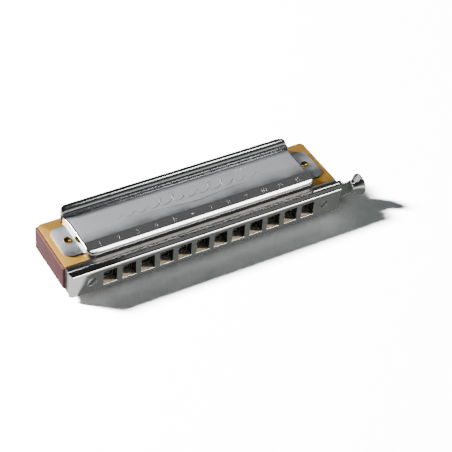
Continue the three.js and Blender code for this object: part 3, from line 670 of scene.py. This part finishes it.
cover_low, cover_high = extents("upper_cover")
FOOT = cover_low.z
FRONT = cover_low.y - FRONT_REACH
BACK = cover_high.y
PANEL_TOP = FOOT + PANEL_HEIGHT
ROLL_HEIGHT = FOOT + ROLL.above_foot
SLOPE_TOP = FRONT + SLOPE.run
FILLET_Z = PANEL_TOP + ROLL.fillet
FILLET_Y = ROLL.y - math.sqrt((ROLL.radius + ROLL.fillet) ** 2 - (FILLET_Z - ROLL_HEIGHT) ** 2)
FILLET_TURN = math.atan2(ROLL_HEIGHT - FILLET_Z, ROLL.y - FILLET_Y)
SATIN, BORDER, INNER = range(3)  # the material slots of a cover's sheet


def front_height(y):
    """The height of the cover's outer surface from its front wall back to the flat panel."""
    brow = clamp((BROW.y - y) / (BROW.y - SLOPE_TOP))
    slope = clamp((SLOPE_TOP - y) / (SLOPE.run - SLOPE.edge))
    edge = max(0.0, FRONT + SLOPE.edge - y)
    return PANEL_TOP - BROW.drop * brow**2 - SLOPE.drop * slope - edge


def on_front(y):
    return Vector((y, front_height(y)))


def curve_through(start, control, end, steps):
    """Points of a quadratic curve, without its first one."""
    points = []
    for i in range(1, steps + 1):
        share = i / steps
        points.append(start * (1 - share) ** 2 + control * (2 * share * (1 - share)) + end * share**2)
    return points


def arc(y, z, radius, start, end, steps):
    """Points of a circular arc from one angle, in radians, to another."""
    return [Vector((y + radius * u, z + radius * v)) for u, v in turns(start, end, steps)]


def cover_section():
    """(y, z) along the outer surface, from the foot of the front wall over the panel to the back foot."""
    wall_top = front_height(FRONT)
    points = [Vector((FRONT, FOOT)), Vector((FRONT, wall_top - FOLD.below))]
    fold_corner = Vector((FRONT, wall_top + FOLD.above))
    points += curve_through(points[-1], fold_corner, on_front(FRONT + FOLD.run), 7)
    bend_start, brow_start = SLOPE_TOP - BEND.before, SLOPE_TOP + BEND.after
    points.append(on_front(bend_start))
    points += curve_through(on_front(bend_start), on_front(SLOPE_TOP), on_front(brow_start), 5)
    points += [on_front(mix(brow_start, BROW.y, i / 9)) for i in range(1, 10)]
    for y in (SATIN_FRONT, *PANEL_LINES, SATIN_BACK, FILLET_Y - ROLL.lead):
        points.append(Vector((y, PANEL_TOP)))
    points += arc(FILLET_Y, FILLET_Z, ROLL.fillet, -QUARTER, FILLET_TURN, 8)
    points += arc(ROLL.y, ROLL_HEIGHT, ROLL.radius, math.pi + FILLET_TURN, 0, 30)[1:]
    points += [Vector((BACK, FOOT + OPENING.height)), Vector((BACK, FOOT))]
    return points


def corner_inset(y):
    """How far the rounded plan corners pull the cover's end in at y."""
    for distance, radius in ((y - FRONT, CORNER.front), (BACK - y, CORNER.back)):
        if distance < radius:
            return radius - math.sqrt(max(0.0, radius**2 - (radius - distance) ** 2))
    return 0.0


def end_points(y, z):
    """Points at the right-hand end of one section row: over the softened edge and down to the foot."""
    inset = corner_inset(y)
    blend = clamp((y - END_LEAN.change) / (ROLL.y - END_LEAN.change))
    lean = mix(END_LEAN.panel, END_LEAN.roll, blend)
    edge = Vector((COVER_HALF_LENGTH - lean * (z - FOOT) - inset, y, z))
    foot = Vector((COVER_HALF_LENGTH - inset, y, FOOT))
    wall = foot - edge
    ease = min(clamp((y - FRONT) / END_EASE.front), clamp((BACK - y) / END_EASE.back))
    lift = clamp((z - PANEL_TOP) / (ROLL_HEIGHT + ROLL.radius - PANEL_TOP))
    soft = min(mix(END_SOFTNESS.panel, END_SOFTNESS.roll, lift), END_SOFTNESS.most * wall.length) * ease
    inner = edge - Vector((soft, 0, 0))
    outer = edge + wall.normalized() * soft
    return [inner] + curve_through(inner, edge, outer, 5) + [foot]


def thicken(bm, thickness, inner_material):
    """Turns the single sheet in bm into sheet metal, grown inwards from its outer surface."""
    bmesh.ops.recalc_face_normals(bm, faces=bm.faces)
    if max(bm.faces, key=lambda face: face.calc_center_median().z).normal.z < 0:
        bmesh.ops.reverse_faces(bm, faces=bm.faces)
    outer_count = len(bm.faces)
    sheet = bpy.data.meshes.new("sheet")
    bm.to_mesh(sheet)
    shape = new_object("sheet", sheet)
    modifier = shape.modifiers.new("thickness", "SOLIDIFY")
    modifier.thickness = thickness
    modifier.offset = -1
    thick = evaluated(shape).to_mesh()
    bm.clear()
    bm.from_mesh(thick)
    bpy.data.objects.remove(shape)
    for index, face in enumerate(bm.faces):
        if index >= outer_count:
            face.material_index = inner_material


def cover_sheet(section):
    """Sheet metal following these (y, z) points of the section, closed down to the foot at both ends."""
    bm = bmesh.new()
    middle = [-OPENING.half_length, *PANEL_STATIONS, OPENING.half_length]
    rows = []
    for y, z in section:
        right = end_points(y, z)
        left = [Vector((-point.x, point.y, point.z)) for point in reversed(right)]
        row = left + [Vector((x, y, z)) for x in middle] + right
        rows.append([bm.verts.new(point) for point in row])
    end_count = len(end_points(*section[0]))
    for (y0, _), (y1, z1), low_row, high_row in zip(section, section[1:], rows, rows[1:]):
        at_opening = y0 == y1 == BACK and z1 == FOOT
        on_panel = SATIN_FRONT - TOUCH <= y0 and y1 < SATIN_BACK + TOUCH
        for i in range(len(low_row) - 1):
            if at_opening and end_count <= i < end_count + len(middle) - 1:
                continue
            face = bm.faces.new((low_row[i], low_row[i + 1], high_row[i + 1], high_row[i]))
            on_top = end_count - 1 <= i < end_count + len(middle)
            face.material_index = SATIN if on_top and on_panel else BORDER
    thicken(bm, COVER_THICKNESS, INNER)
    return bm


def make_cover(name, side):
    """The cover's shell and its roll, which meet on the flat panel."""
    section = cover_section()
    seam = next(i for i, (y, _) in enumerate(section) if abs(y - SATIN_BACK) < TOUCH)
    for part, stretch, border, replaced in (
        ("shell", section[: seam + 1], polished_steel, (name + "_cover",)),
        ("roll", section[seam:], roll_steel, ()),
    ):
        steels = (satin_steel, border, inner_steel)
        piece = add_piece(f"{name}_cover_{part}", cover_sheet(stretch), steels, mirrored=side < 0)
        settle(piece, crease=24, replaced=replaced)


def make_tabs(name, side):
    """The two flat tabs at a cover's ends that its nails go through."""
    bm = bmesh.new()
    for _, sign in ends:
        x0, x1 = sorted((sign * (COVER_HALF_LENGTH - TAB.tuck), sign * TAB.end))
        corner = TAB.corner
        radii = (corner, POINT, POINT, corner) if sign < 0 else (POINT, corner, corner, POINT)
        low, high = (x0, TAB.front, FOOT), (x1, TAB.back, FOOT + TAB.thickness)
        rounded_slab(bm, low, high, radii, TAB.softness, 2)
    tabs = add_piece(name + "_cover_tabs", bm, [tab_steel], mirrored=side < 0)
    settle(tabs)


for side_name, side_sign in sides:
    make_cover(side_name, side_sign)
    make_tabs(side_name, side_sign)

# ---- numbers and ornament on the upper cover ----


def make_numbers():
    """The hole numbers, slightly raised and draped over the polished border in front of the panel."""
    bm = bmesh.new()
    for hole in holes:
        lettering = bpy.data.curves.new("digits", "FONT")
        lettering.body = str(hole + 1)
        lettering.size = NUMBERS.size
        lettering.align_x = "CENTER"
        lettering.extrude = NUMBERS.lift
        lettering.bevel_depth = NUMBERS.bevel
        lettering.offset = -NUMBERS.thinning
        lettering.bevel_resolution = 2
        lettering.resolution_u = 5
        shape = new_object("digits", lettering)
        outlines = evaluated(shape).to_mesh()
        outlines.transform(Matrix.Translation((hole_x(hole), NUMBERS.front, 0)))
        bm.from_mesh(outlines)
        bpy.data.objects.remove(shape)
    for vertex in bm.verts:
        vertex.co.z += front_height(vertex.co.y)
    return bm


def sweep(bm, path, radius_at):
    """A round line along path, tapered by radius_at(share)."""
    up = Vector((0, 0, 1))
    circle = turns(0, math.tau, 8)[:-1]
    rings = []
    for i, point in enumerate(path):
        ahead = path[min(i + 1, len(path) - 1)] - path[max(i - 1, 0)]
        across = Vector((-ahead.y, ahead.x, 0)).normalized()
        radius = radius_at(i / (len(path) - 1))
        rings.append([point + radius * (u * across + v * up) for u, v in circle])
    loft(bm, rings)


def bulge(share):
    """0 at both ends of a line and 1 in its middle."""
    return math.sin(math.pi * share)


def loops_path(z):
    """Slanted loops that swell and shrink three times along the panel."""
    steps = 28 * ORNAMENT.loops
    path = []
    for i in range(steps + 1):
        share = i / steps
        turn = math.tau * ORNAMENT.loops * share
        swell = bulge(share) ** 0.5 * (0.72 + 0.28 * math.cos(3 * math.tau * share))
        rise = ORNAMENT.height * swell / 2 * (1 - math.cos(turn))
        x = mix(-1, 1, share) * ORNAMENT.half_length + ORNAMENT.swing * swell * math.sin(turn)
        path.append(Vector((x + ORNAMENT.slant * rise, ORNAMENT.y + rise, z)))
    return path


def flourish_path(z):
    """A long wave in front of the loops that calms down towards the right."""
    steps = 120
    path = []
    for i in range(steps + 1):
        share = i / steps
        x = mix(FLOURISH.start, FLOURISH.end, share) * ORNAMENT.half_length
        wave = math.sin(math.tau * FLOURISH.waves * share) * (1 - share / 2)
        path.append(Vector((x, FLOURISH.y + FLOURISH.height * wave, z)))
    return path


def make_ornament():
    """A running line of slanted loops over a long flourish, with a row of small beads behind it."""
    bm = bmesh.new()
    line = ENGRAVED_LINE.radius
    z = PANEL_TOP - ENGRAVED_LINE.sink * line
    sweep(bm, loops_path(z), lambda share: line * (0.35 + 0.65 * bulge(share) ** 0.4))
    sweep(bm, flourish_path(z), lambda share: line * (0.2 + 0.8 * bulge(share)))
    radius = BEADS.radius
    bead = [(PANEL_TOP + rise * radius, width * radius) for rise, width in BEAD_DOME]
    for i in range(BEADS.count):
        x = mix(-1, 1, i / (BEADS.count - 1)) * BEADS.half_length
        turned(bm, bead, along_z(x, BEADS.y), 10)
    return bm


for piece_name, piece_bm, shader in (
    ("cover_numbers", make_numbers(), satin_steel),
    ("cover_ornament", make_ornament(), engraved_steel),
):
    settle(add_piece(piece_name, piece_bm, [shader]))

# ---- nails ----


def make_nail(name, side, sign):
    """A domed brass head on the short visible stretch of its shank."""
    head = NAIL.head
    seat = FOOT + TAB.thickness + NAIL.gap
    shank_end = seat - NAIL_SHANK.length
    profile = [(shank_end - NAIL_SHANK.point, POINT), (shank_end, NAIL_SHANK.radius)]
    profile += [(seat, NAIL_SHANK.radius), (seat, head * NAIL.underside)]
    for cosine, sine in turns(0, QUARTER, 10):
        profile.append((seat + NAIL.rim + NAIL.dome * sine, max(POINT, head * cosine)))
    bm = bmesh.new()
    turned(bm, profile, along_z(sign * NAIL.x, NAIL.y), 40)
    obj = add_piece(name + "_head", bm, [bright_brass], mirrored=side < 0)
    settle(obj, replaced=(name,))


for side_name, side_sign in sides:
    for end_name, end_sign in ends:
        make_nail(f"{side_name}_cover_nail_{end_name}", side_sign, end_sign)

# ---- mouthpiece ----


def mouth_profile(back):
    """(y, inset) along the mouthpiece's outer surface, from its back edge to its flat front face."""
    steps = 12
    start, radius, lean = math.radians(MOUTH_FRONT.start), MOUTH_FRONT.radius, MOUTH_SLOPE.lean
    back_radius, back_turn = MOUTH_BACK.radius, math.radians(MOUTH_BACK.turn)
    slope_back = back - back_radius * math.sin(back_turn)
    slope_front = radius * (1 - math.sin(start))
    profile = []
    for cosine, sine in turns(back_turn, 0, 8)[:-1]:
        profile.append((slope_back + back_radius * sine, back_radius * (1 - cosine)))
    for i in range(steps):
        profile.append((mix(slope_back, slope_front, i / steps), lean * (i / steps) ** MOUTH_SLOPE.curve))
    for cosine, sine in turns(start, QUARTER, steps):
        profile.append((radius * (1 - sine), lean + radius * (math.cos(start) - cosine)))
    return profile


def cut_mouth_hole(cutter, x, back):
    """One square hole, with a rounded lip at the front."""
    half_width, half_height, lip = MOUTH_HOLE.width / 2, MOUTH_HOLE.height / 2, MOUTH_HOLE.lip
    lips = [(lip * (1 - cosine), lip * (1 - sine)) for cosine, sine in turns(0, QUARTER, 4)]
    rings = []
    for y, grow in ((-PAST, lip), *lips, (back + PAST, 0.0)):
        w, h = half_width + grow, half_height + grow
        rings.append([(x - w, y, -h), (x + w, y, -h), (x + w, y, h), (x - w, y, h)])
    loft(cutter, rings)


def cut_screw_seat(cutter, x, back):
    """A hole for the screw's shank with a flat seat and a small chamfer for its head."""
    radius = SCREW_HOLE.radius
    rim = SCREW.head + SCREW_HOLE.room
    seat = [(SCREW_HOLE.mouth, rim + SCREW_HOLE.flare), (SCREW_HOLE.rim, rim), (SCREW_HOLE.seat, rim)]
    seat += [(SCREW_HOLE.cone, radius), (back + PAST, radius)]
    turned(cutter, seat, along_y(x), 40)


def make_mouthpiece():
    """The chromed bar with its twelve square holes, whose up-facing floors are painted pale as if lit and
    whose other walls are painted near-black as shade.
    """
    high = extents("mouthpiece")[1]
    rings = []
    for y, inset in mouth_profile(high.y):
        x, z = high.x - inset, high.z - inset
        rings.append([(-x, y, -z), (x, y, -z), (x, y, z), (-x, y, z)])
    bm = bmesh.new()
    loft(bm, rings)
    obj = add_piece("mouthpiece_body", bm, (mouth_chrome, hole_lining, hole_shade))
    cutter = bmesh.new()
    for hole in holes:
        cut_mouth_hole(cutter, hole_x(hole), high.y)
    for _, sign in ends:
        cut_screw_seat(cutter, sign * SCREW_X, high.y)
    carve(obj, cutter)
    for face in obj.data.polygons:
        x, y, z = face.center
        off_hole = min(abs(x - hole_x(hole)) for hole in holes)
        inside = off_hole < MOUTH_HOLE.width / 2 + TOUCH and abs(z) < MOUTH_HOLE.height / 2 + TOUCH
        if inside and MOUTH_HOLE.lip < y < high.y - TOUCH:
            # Painted light and shade: up-facing hole floors get the pale tone, the other hole walls the
            # near-black one.
            face.material_index = 1 if face.normal.z > 0.5 else 2
    settle(obj, crease=38, replaced=("mouthpiece",))


def make_mouth_screw(end_name, sign):
    """A slotted, nearly flat head on a shank that tapers to a point in the comb."""
    x = sign * SCREW_X
    head, shank, end = SCREW.head, SCREW_SHANK.radius, SCREW_SHANK.end
    profile = [(end, POINT), (end - SCREW_SHANK.point, shank / 2), (end - SCREW_SHANK.taper, shank)]
    profile += [(SCREW.neck, shank), (SCREW.flank, head - SCREW.draft), (SCREW.rim, head)]
    for cosine, sine in turns(0, QUARTER, 8)[1:]:
        profile.append((SCREW.rim - SCREW.dome * sine, max(POINT, head * SCREW.crown * cosine)))
    bm = bmesh.new()
    turned(bm, profile[::-1], along_y(x), 40)
    obj = add_piece(f"mouthpiece_screw_{end_name}_turned", bm, [chrome])
    reach, half = head + PAST, SCREW_SLOT.width / 2
    turn = math.radians(SCREW_SLOT.turn)
    cosine, sine = math.cos(turn), math.sin(turn)
    corners = ((-reach, -half), (reach, -half), (reach, half), (-reach, half))
    corners = [(u * cosine + v * sine, v * cosine - u * sine) for u, v in corners]
    cutter = bmesh.new()
    loft(cutter, [[(x + u, y, v) for u, v in corners] for y in (-PAST, SCREW_SLOT.depth)])
    carve(obj, cutter)
    settle(obj, replaced=(f"mouthpiece_screw_{end_name}",))


make_mouthpiece()
for end_name, end_sign in ends:
    make_mouth_screw(end_name, end_sign)

# ---- button ----


def make_button():
    """A collar against the slide's neck, a waist, and a flare out to a rounded rim with a dished face."""
    low, high = extents("slide_button")
    length = high.x - low.x
    rim = (high.z - low.z) / 2
    middle_y = (low.y + high.y) / 2
    waist, edge, collar_end = BUTTON.waist, BUTTON.edge, BUTTON.collar_end
    rim_start = length - BUTTON_RIM.start
    profile = [(0.0, POINT), (0.0, waist - BUTTON.bevel), (edge, waist)]
    for i in range(1, 12):
        swell = math.sin(math.pi * i / 12)
        profile.append((mix(edge, collar_end, i / 12), mix(waist, BUTTON.collar, swell)))
    for i in range(15):
        share = i / 14
        profile.append((mix(collar_end, rim_start, share), mix(waist, rim, share ** BUTTON.flare)))
    for i in range(1, 9):
        share = i / 9
        drop = BUTTON_RIM.rounding * (1 - math.sin(math.pi * share)) * share
        profile.append((rim_start + BUTTON_RIM.width * share, rim - drop))
    dish_edge, dish_middle = BUTTON_RIM.dish
    profile.append((length, rim - BUTTON_RIM.face))
    profile += [(length - dish_edge, rim * BUTTON_RIM.dish_share), (length - dish_middle, POINT)]
    bm = bmesh.new()
    turned(bm, profile, lambda along, u, v: (low.x + along, middle_y + u, v), 64)
    obj = add_piece("button_turned", bm, [chrome])
    settle(obj, crease=50, replaced=("slide_button",), body="slide")


make_button()

# ---- CAD nodes that are shown as they are ----

carried = {
    "slide_cage": cage_steel,
    "slide_backing_plate": cage_steel,
    "slide": slide_steel,
    "spring_pin": plate_brass,
    "return_spring_coil": spring_steel,
    "return_spring_arm": spring_steel,
}
for side_name, _ in sides:
    for hole in holes:
        carried[f"{side_name}_draw_reed_{hole + 1}"] = reed_brass
    for end_name, _ in ends:
        carried[f"{side_name}_plate_pin_{end_name}"] = bright_brass
for node, shader in carried.items():
    mesh = frame["nodes"][node].data
    mesh.materials.clear()
    mesh.materials.append(shader.material)

# ---- floor, light and surroundings, in metres ----

FLOOR_REACH = 4.0
PICTURE_MIDDLE = Vector((0, 0, 0.015))


def make_floor(name, brightness, glow=0.0):
    """A flat sheet under the instrument, far larger than the picture."""
    bm = bmesh.new()
    corners = ((-1, -1), (1, -1), (1, 1), (-1, 1))
    bm.faces.new([bm.verts.new((FLOOR_REACH * x, FLOOR_REACH * y, 0)) for x, y in corners])
    floor = new_object(name, mesh_of(bm, name))
    material = bpy.data.materials.new(name)
    material.use_nodes = True
    surface = material.node_tree.nodes["Principled BSDF"]
    fill(surface, Base_Color=(brightness, brightness, brightness, 1), Roughness=0.9, Specular_IOR_Level=0.0)
    fill(surface, Emission_Color=(0.96, 1.0, 0.98, 1), Emission_Strength=glow)
    floor.data.materials.append(material)
    floor.visible_diffuse = False
    floor.visible_shadow = False
    return floor


def area_light(name, toward, distance, size, irradiance, target=PICTURE_MIDDLE):
    """A soft light in direction toward, of this size along X and across, giving an irradiance in W/m2."""
    data = bpy.data.lights.new(name, "AREA")
    data.shape = "RECTANGLE"
    data.size, data.size_y = size
    data.energy = irradiance * math.pi * distance**2
    light = new_object(name, data)
    back = Vector(toward).normalized()
    along = (Vector((1, 0, 0)) - back.x * back).normalized()
    axes = Matrix((along, back.cross(along), back)).transposed().to_4x4()
    light.matrix_world = Matrix.Translation(target + back * distance) @ axes
    return light


def light_only(light, objects, state):
    """Makes the light reach only these objects (INCLUDE) or everything but them (EXCLUDE)."""
    receivers = bpy.data.collections.new(light.name + "_receivers")
    light.light_linking.receiver_collection = receivers
    for obj in objects:
        receivers.objects.link(obj)
    for entry in receivers.collection_objects:
        entry.light_linking.link_state = state


def reflection(name, toward, distance, size, irradiance, receivers, state="INCLUDE"):
    """An area light that is seen only in reflections, on its receivers or on everything but them."""
    light = area_light(name, toward, distance, size, irradiance)
    light.visible_diffuse = False
    light_only(light, receivers, state)
    return light


def ending_with(*endings):
    return [obj for obj in bpy.data.objects if obj.name.endswith(endings)]


# The photo's table is white, but its metal mirrors something darker. So the camera sees one sheet and
# reflections show another one at the same height.
floor = make_floor("floor", 0.9)
floor.visible_glossy = False
# Painted light: this sheet is dark but glows a little, so the floor's shadow mirrored in the metal reads
# mid-grey.
mirrored_floor = make_floor("mirrored_floor", 0.055, 0.155)
mirrored_floor.visible_camera = False
floors = (floor, mirrored_floor)

sheets = ending_with("_shell", "_ornament", "_numbers")
tabs = ending_with("_tabs")
rolls = ending_with("_roll")
plates = ending_with("_plate")
mouth_parts = [obj for obj in bpy.data.objects if obj.name.startswith("mouthpiece_") and obj.type == "MESH"]
mouth_body = [bpy.data.objects["mouthpiece_body"]]
button = [bpy.data.objects["button_turned"]]

# The main light comes from the left and behind. It is split so that the shadow, the painted and brass
# parts, and the sheen of each kind of satin sheet can have their own strength.
KEY_FROM = (-1.2, 1.07, 1.0)
KEY_DISTANCE = 3.0
key_floor = area_light("key_floor", KEY_FROM, KEY_DISTANCE, (0.45, 0.45), 105.0)
light_only(key_floor, floors, "INCLUDE")
key_piece = area_light("key_piece", KEY_FROM, KEY_DISTANCE, (0.5, 0.5), 4.2)
key_piece.visible_glossy = False
light_only(key_piece, floors, "EXCLUDE")
for name, irradiance, receivers in (
    ("cover_sheen", 17.5, sheets),
    ("plate_sheen", 12.0, plates),
    ("tab_sheen", 17.0, tabs),
):
    reflection(name, KEY_FROM, KEY_DISTANCE, (0.6, 0.6), irradiance, receivers)

# Each of these places one reflection of the photo on the pieces that show it.
not_in_front_strip = [*floors, *plates, *mouth_parts, *rolls]
reflection("front_strip", (0.4, -0.2, 0.89), 0.9, (0.55, 0.1), 0.7, not_in_front_strip, "EXCLUDE")
reflection("roll_strip", (0.42, -0.17, 0.89), 0.9, (0.2, 0.22), 0.5, rolls)
reflection("border_glow", (0.4, 0.3, 0.88), 1.3, (1.6, 0.85), 0.1, sheets)
reflection("top_glow", (0.57, -0.05, 0.82), 1.3, (0.8, 0.9), 0.06, mouth_body)
reflection("front_glow", (0.4, -0.72, 0.57), 1.2, (1.6, 0.3), 0.5, sheets)
reflection("right_glow", (0.9, 0.45, 0.6), 1.5, (1.4, 1.2), 0.3, tabs + plates)
reflection("button_glow", (-0.45, 0.4, 0.78), 1.2, (1.0, 1.6), 0.9, button)

# The far end of the photo's shadow is a little lighter and cooler.
shadow_end = Vector((0.08, -0.05, 0))
shadow_fill = area_light("shadow_fill", (0.75, -0.45, 0.6), 0.45, (0.3, 0.3), 0.75, shadow_end)
shadow_fill.data.color = (0.9, 1.0, 1.0)
light_only(shadow_fill, floors, "INCLUDE")

reflection("lip_line", (0.4, -0.89, 0.2), 1.2, (1.4, 0.4), 5.0, mouth_body)
reflection("lip_glow", (0.4, -0.8, 0.42), 1.2, (1.4, 0.35), 0.1, mouth_body)
back_glow = reflection("back_glow", (0.4, 0.885, 0.24), 1.5, (1.5, 0.5), 3.0, mouth_body)
back_glow.data.color = (1.0, 0.96, 0.9)
reflection("side_panel", (-0.775, 0.635, 0.08), 1.2, (0.6, 0.3), 0.26, floors, "EXCLUDE")

# This one reaches into the mouth holes and lights their pale-painted floors.
hole_light = area_light("hole_light", (0.85, -0.5, 0.42), 1.5, (0.2, 0.2), 5.5)
hole_light.visible_glossy = False
light_only(hole_light, mouth_body, "INCLUDE")


def make_world():
    """A dark studio: pale below, grey at the horizon and nearly black overhead."""
    world = bpy.data.worlds.new("studio")
    world.use_nodes = True
    nodes, links = world.node_tree.nodes, world.node_tree.links
    coordinates = nodes.new("ShaderNodeTexCoord")
    split = nodes.new("ShaderNodeSeparateXYZ")
    spread = nodes.new("ShaderNodeMapRange")
    fill(spread, From_Min=-1.0)
    ramp = nodes.new("ShaderNodeValToRGB")
    levels = ((0.0, 0.3), (0.48, 0.28), (0.52, 0.24), (0.62, 0.12), (0.72, 0.03), (1.0, 0.02))
    tint = (0.95, 1, 0.98)
    set_stops(ramp.color_ramp, [(at, [level * part for part in tint]) for at, level in levels])
    links.new(coordinates.outputs["Generated"], split.inputs["Vector"])
    links.new(split.outputs["Z"], spread.inputs["Value"])
    links.new(spread.outputs["Result"], ramp.inputs["Fac"])
    links.new(ramp.outputs["Color"], nodes["Background"].inputs["Color"])
    bpy.context.scene.world = world


make_world()
